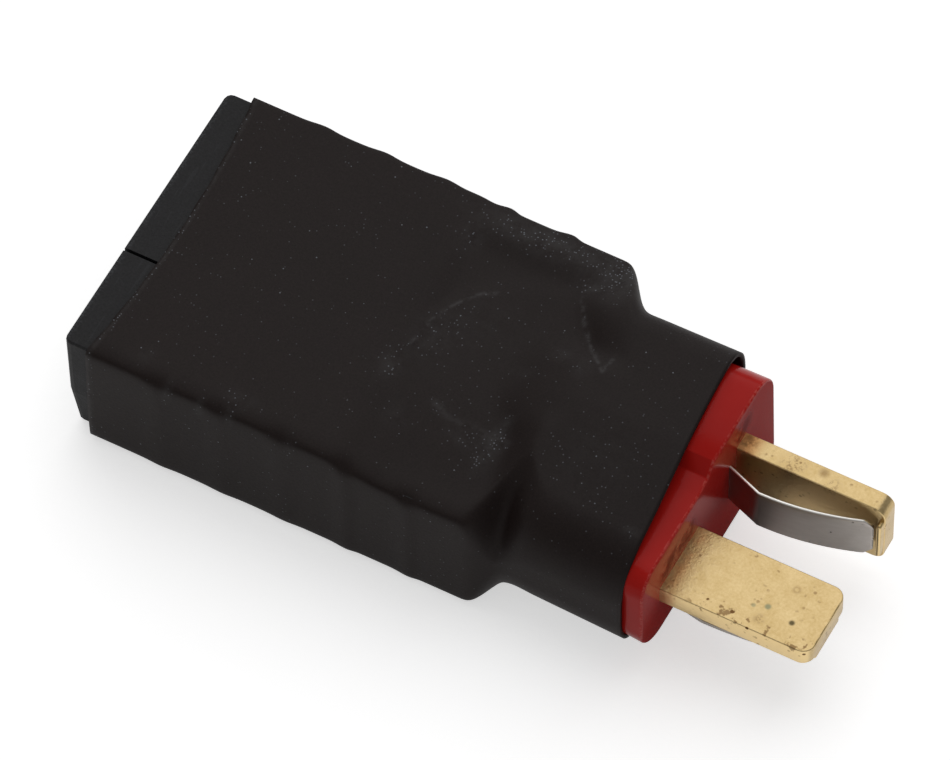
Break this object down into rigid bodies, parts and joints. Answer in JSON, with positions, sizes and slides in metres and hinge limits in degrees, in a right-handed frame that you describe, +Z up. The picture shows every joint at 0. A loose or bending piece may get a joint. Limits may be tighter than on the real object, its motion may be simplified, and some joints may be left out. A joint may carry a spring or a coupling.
{
  "type": "battery connector adapter",
  "caption": "Rigid battery lead adapter: a wide black socket and a red two-blade plug joined end to end under one heat-shrink sleeve.",
  "frame": {"origin": "Under the middle of the overall box, on the surface that the sleeve's flat side rests on.", "axes": "+X runs from the socket's mouth to the blades' tips, +Y points to the side of the upright blade, +Z is up."},
  "size_m": [0.0448, 0.0198, 0.0102],
  "materials": {
    "black_nylon": "fine moulded texture, worn",
    "black_shrink": "matte heat-shrink, dusty",
    "red_nylon": "very glossy",
    "gold_plate": "gold-plated, tarnished",
    "spring_steel": "satin, scratched",
    "tinned_copper": "tinned wire",
    "solder": "dull solder"
  },
  "bodies": {
    "adapter": {"shrink_sleeve": "black_shrink", "socket_housing": "black_nylon", "socket_contact_near": "gold_plate", "socket_contact_far": "gold_plate", "link_wire_near": "tinned_copper", "link_wire_far": "tinned_copper", "solder_contact_near": "solder", "solder_contact_far": "solder", "solder_blade_near": "solder", "solder_blade_far": "solder", "plug_body": "red_nylon", "upright_blade": "gold_plate", "flat_blade": "gold_plate"},
    "near_contact_leaf": {"contact_spring_near": "spring_steel"},
    "far_contact_leaf": {"contact_spring_far": "spring_steel"},
    "upright_leaf": {"upright_blade_spring": "spring_steel"},
    "flat_leaf": {"flat_blade_spring": "spring_steel"}
  },
  "joints": [
    {"name": "near_contact_flex", "type": "hinge", "parent": "adapter", "child": "near_contact_leaf", "pos_m": [-0.01115, -0.00444, 0.002], "axis": [0, -1, 0], "range_deg": [0, 3], "stiffness_Nm_per_rad": 0.4},
    {"name": "far_contact_flex", "type": "hinge", "parent": "adapter", "child": "far_contact_leaf", "pos_m": [-0.01115, 0.00444, 0.002], "axis": [0, -1, 0], "range_deg": [0, 3], "stiffness_Nm_per_rad": 0.4},
    {"name": "upright_leaf_flex", "type": "hinge", "parent": "adapter", "child": "upright_leaf", "pos_m": [0.02178, 0.00178, 0.0051], "axis": [0, 0, -1], "range_deg": [0, 3.4], "stiffness_Nm_per_rad": 0.5},
    {"name": "flat_leaf_flex", "type": "hinge", "parent": "adapter", "child": "flat_leaf", "pos_m": [0.02178, -0.00469, 0.00423], "axis": [0, 1, 0], "range_deg": [0, 3.4], "stiffness_Nm_per_rad": 0.5}
  ]
}
